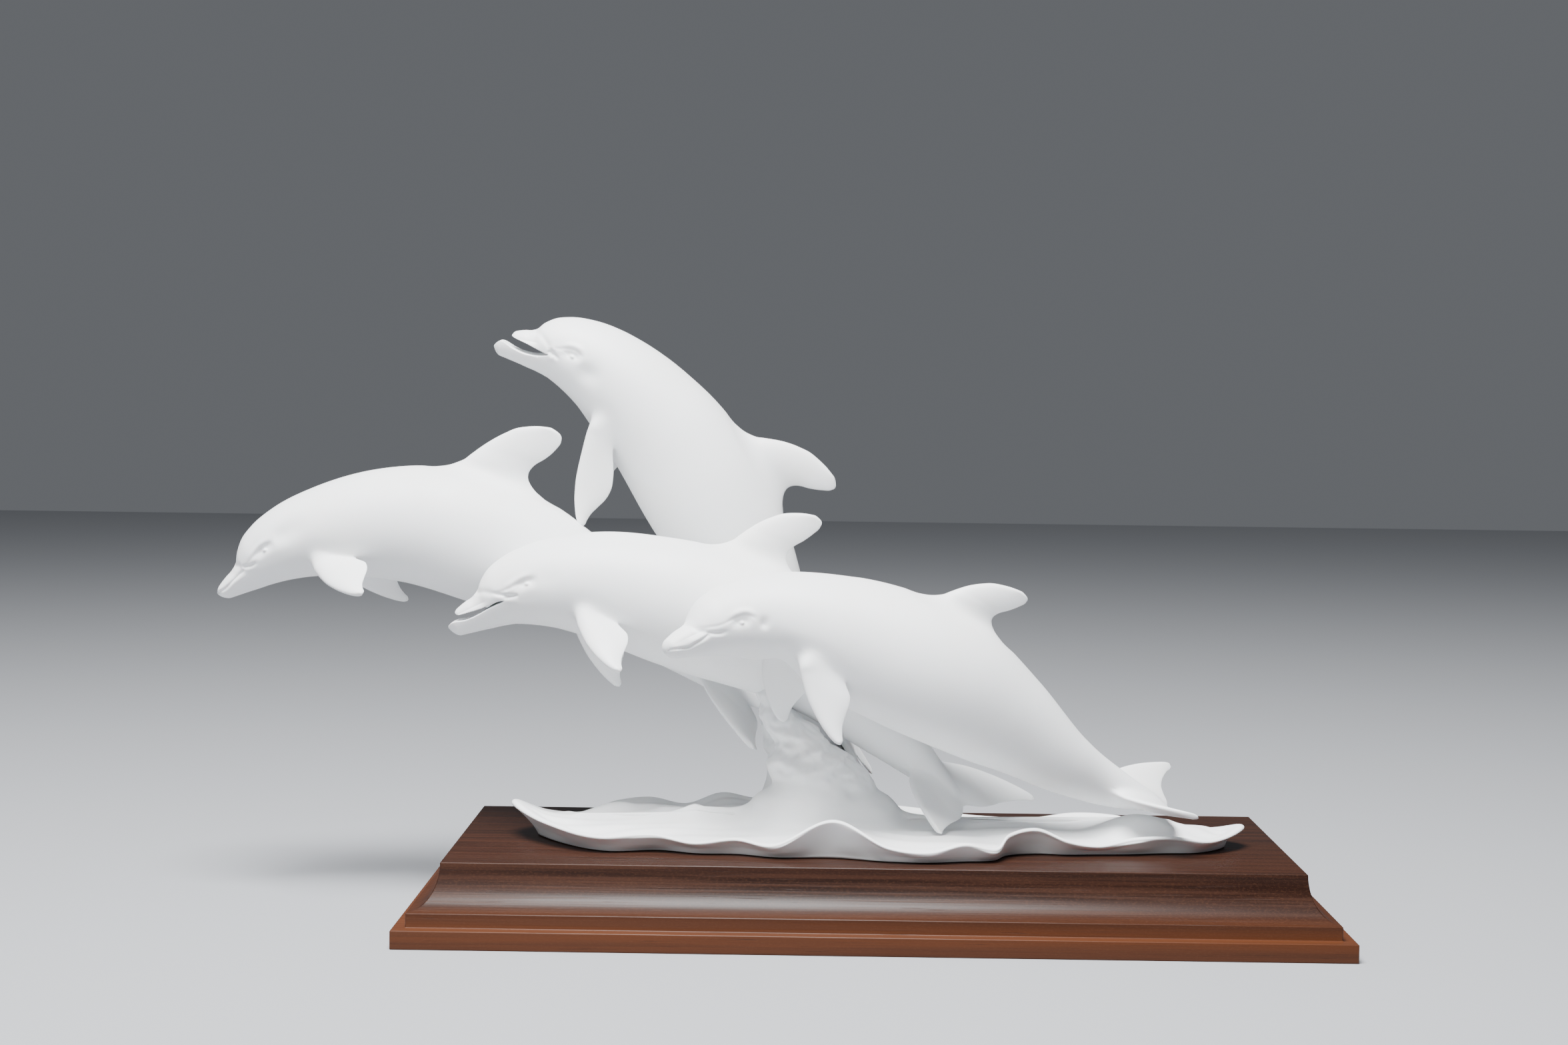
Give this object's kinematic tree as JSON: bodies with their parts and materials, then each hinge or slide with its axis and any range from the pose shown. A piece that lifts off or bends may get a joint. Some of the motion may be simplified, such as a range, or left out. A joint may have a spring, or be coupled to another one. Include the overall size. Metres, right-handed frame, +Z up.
{
  "type": "bottlenose dolphin sculpture",
  "caption": "Porcelain group of leaping dolphins over a crested wave, standing on a moulded wooden plinth.",
  "frame": {"origin": "centre of the plinth's underside", "axes": "+X along the plinth's length, to the right as the front is seen, with the dolphins leaping towards -X; +Y towards the back; +Z up"},
  "size_m": [0.5756, 0.216, 0.3044],
  "materials": {
    "bisque_porcelain": "matt unglazed white biscuit porcelain",
    "stained_wood": "dark red-brown stained wood under satin lacquer"
  },
  "bodies": {
    "root": {"dolphin_group": "bisque_porcelain", "plinth": "stained_wood"}
  },
  "joints": []
}
